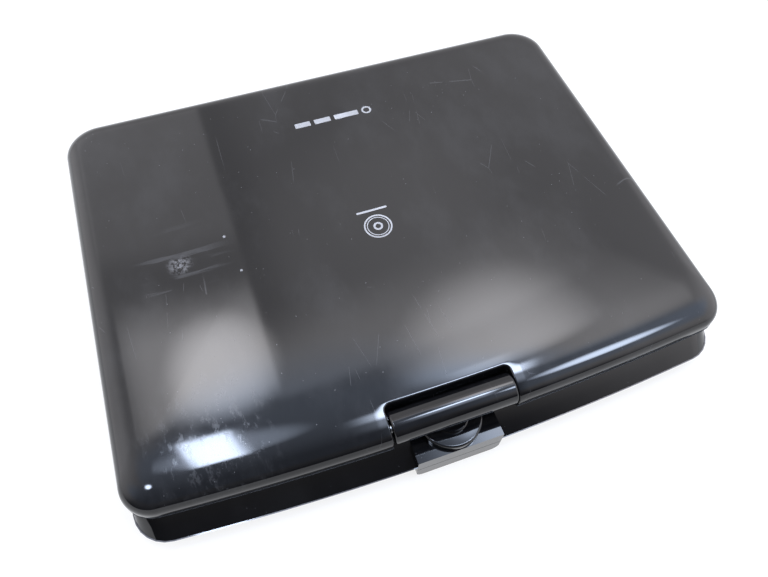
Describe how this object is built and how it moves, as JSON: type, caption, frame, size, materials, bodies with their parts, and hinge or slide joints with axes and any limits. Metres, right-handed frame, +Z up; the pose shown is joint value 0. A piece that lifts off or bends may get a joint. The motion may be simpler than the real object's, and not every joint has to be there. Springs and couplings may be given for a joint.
{
  "type": "portable dvd player",
  "caption": "Closed clamshell portable disc player with a swivel screen, disc drive, keys, side sockets and battery inside a glossy black shell.",
  "frame": {"origin": "centre of the footprint, on the surface under the feet", "axes": "+X along the hinge edge to the user's right, +Y from the user towards the hinge, +Z up"},
  "size_m": [0.25, 0.202, 0.036],
  "materials": {
    "gloss_black": "polished, dusty, finely scratched",
    "matte_black": "fine moulded texture",
    "key_silver": "satin paint",
    "steel": "plated",
    "dark_metal": "satin",
    "board": "solder mask",
    "rubber": "matt",
    "screen_glass": "anti-glare coat",
    "light_guide": "white, frosted",
    "battery_wrap": "shrink film",
    "lens_clear": "clear lens",
    "ir_red": "dark red, see-through to infrared",
    "indicator_green": "diffuse",
    "jack_yellow": "moulded",
    "jack_green": "moulded",
    "ribbon": "film"
  },
  "bodies": {
    "base": {"bottom_case": "matte_black", "top_case": "gloss_black", "rubber_feet": "rubber", "battery_cover": "matte_black", "battery_pack": "battery_wrap", "case_screws": "steel", "disc_door": "gloss_black", "door_pins": "steel", "door_springs": "steel", "door_latch": "key_silver", "loader_chassis": "matte_black", "damper_grommets": "rubber", "spindle_motor": "steel", "guide_rods": "steel", "sled_motor": "steel", "main_board": "board", "key_board": "board", "board_screws": "steel", "dc_jack": "matte_black", "av_jack": "jack_yellow", "headphone_jack": "jack_green", "card_socket": "steel", "speakers": "dark_metal", "speaker_grilles": "matte_black", "ir_window": "ir_red", "indicator_lenses": "indicator_green", "loader_ribbon": "ribbon", "hinge_cable": "rubber", "swivel_bearing": "steel"},
    "spindle": {"spindle_hub": "dark_metal"},
    "sled": {"laser_sled": "dark_metal", "laser_lens": "lens_clear"},
    "screw": {"lead_screw": "steel"},
    "nav": {"nav_pad": "key_silver"},
    "ok": {"ok_button": "key_silver"},
    "play": {"play_button": "key_silver"},
    "stop": {"stop_button": "key_silver"},
    "menu": {"menu_button": "key_silver"},
    "previous": {"previous_button": "key_silver"},
    "next": {"next_button": "key_silver"},
    "open": {"open_button": "key_silver"},
    "power": {"power_knob": "key_silver"},
    "volume": {"volume_wheel": "matte_black"},
    "swivel": {"swivel_shaft": "steel", "swivel_retainer": "steel", "swivel_disc": "gloss_black", "hinge_bracket": "steel", "tilt_pins": "steel", "friction_washers": "steel", "barrel_cover_lower": "gloss_black", "barrel_cover_upper": "gloss_black"},
    "screen": {"screen_back": "gloss_black", "screen_bezel": "matte_black", "lcd_panel": "screen_glass", "backlight_tray": "light_guide", "screen_board": "board", "tilt_brackets": "steel", "screen_screws": "steel", "screen_bumpers": "rubber"}
  },
  "joints": [
    {"name": "swivel_turn", "type": "hinge", "parent": "base", "child": "swivel", "pos_m": [0, 0.088, 0.029], "axis": [0, 0, 1], "range_deg": [0, 180]},
    {"name": "screen_tilt", "type": "hinge", "parent": "swivel", "child": "screen", "pos_m": [0, 0.088, 0.029], "axis": [-1, 0, 0], "range_deg": [0, 180]},
    {"name": "disc_spin", "type": "hinge", "parent": "base", "child": "spindle", "pos_m": [-0.045, -0.008, 0.016], "axis": [0, 0, 1], "continuous": true},
    {"name": "sled_travel", "type": "slide", "parent": "base", "child": "sled", "axis": [0, -1, 0], "range_m": [0, 0.036]},
    {"name": "screw_turn", "type": "hinge", "parent": "base", "child": "screw", "pos_m": [-0.015, -0.05, 0.0104], "axis": [0, 1, 0], "range_deg": [0, 4320]},
    {"name": "nav_press", "type": "slide", "parent": "base", "child": "nav", "axis": [0, 0, -1], "range_m": [0, 0.0006], "stiffness_N_per_m": 400, "springref_m": -0.001},
    {"name": "ok_press", "type": "slide", "parent": "base", "child": "ok", "axis": [0, 0, -1], "range_m": [0, 0.0006], "stiffness_N_per_m": 400, "springref_m": -0.001},
    {"name": "play_press", "type": "slide", "parent": "base", "child": "play", "axis": [0, 0, -1], "range_m": [0, 0.0006], "stiffness_N_per_m": 400, "springref_m": -0.001},
    {"name": "stop_press", "type": "slide", "parent": "base", "child": "stop", "axis": [0, 0, -1], "range_m": [0, 0.0006], "stiffness_N_per_m": 400, "springref_m": -0.001},
    {"name": "menu_press", "type": "slide", "parent": "base", "child": "menu", "axis": [0, 0, -1], "range_m": [0, 0.0006], "stiffness_N_per_m": 400, "springref_m": -0.001},
    {"name": "previous_press", "type": "slide", "parent": "base", "child": "previous", "axis": [0, 0, -1], "range_m": [0, 0.0006], "stiffness_N_per_m": 400, "springref_m": -0.001},
    {"name": "next_press", "type": "slide", "parent": "base", "child": "next", "axis": [0, 0, -1], "range_m": [0, 0.0006], "stiffness_N_per_m": 400, "springref_m": -0.001},
    {"name": "open_press", "type": "slide", "parent": "base", "child": "open", "axis": [0, 0, -1], "range_m": [0, 0.0006], "stiffness_N_per_m": 400, "springref_m": -0.001},
    {"name": "power_slide", "type": "slide", "parent": "base", "child": "power", "axis": [0, 1, 0], "range_m": [0, 0.003]},
    {"name": "volume_turn", "type": "hinge", "parent": "base", "child": "volume", "pos_m": [0.1153, -0.012, 0.0124], "axis": [0, 0, 1], "range_deg": [0, 270]}
  ],
  "couplings": [
    {"joint": "screw_turn", "follows": "sled_travel", "rad_per_m": 2094.4}
  ]
}
